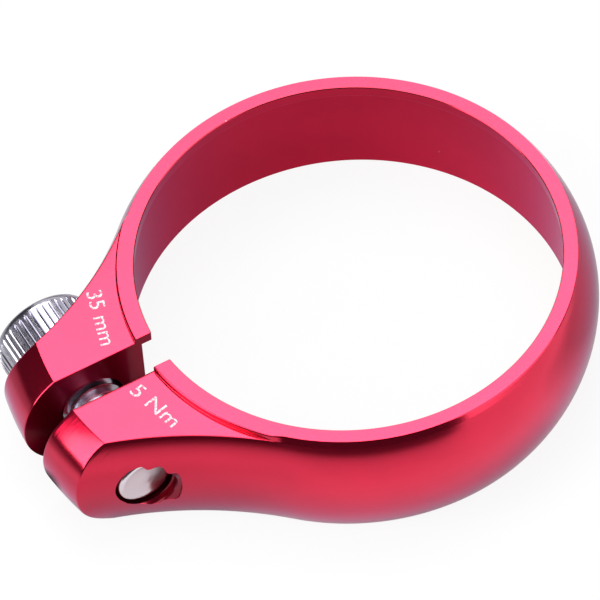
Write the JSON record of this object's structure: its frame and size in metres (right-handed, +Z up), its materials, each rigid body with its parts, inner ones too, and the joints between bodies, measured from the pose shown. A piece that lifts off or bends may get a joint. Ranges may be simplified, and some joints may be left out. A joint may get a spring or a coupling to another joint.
{
  "type": "seatpost clamp",
  "caption": "Split red anodised band with a lip and two ears that closes on a bicycle seat tube with a knurled socket head cross bolt.",
  "frame": {"origin": "on the axis of the seat tube bore, level with the band's lower face", "axes": "+Z up along the seat tube towards the lip, -X towards the ears and the slot, +Y towards the head of the cross bolt"},
  "size_m": [0.0473, 0.0384, 0.0103],
  "materials": {
    "anodised_red": "satin red anodised",
    "bolt_steel": "bright stainless steel"
  },
  "bodies": {
    "band": {"clamp_band": "anodised_red"},
    "bolt": {"clamp_bolt": "bolt_steel"}
  },
  "joints": [
    {"name": "bolt_turn", "type": "hinge", "parent": "band", "child": "bolt", "pos_m": [-0.0221, 0, 0.0049], "axis": [0, -1, 0], "range_deg": [-720, 270]}
  ]
}
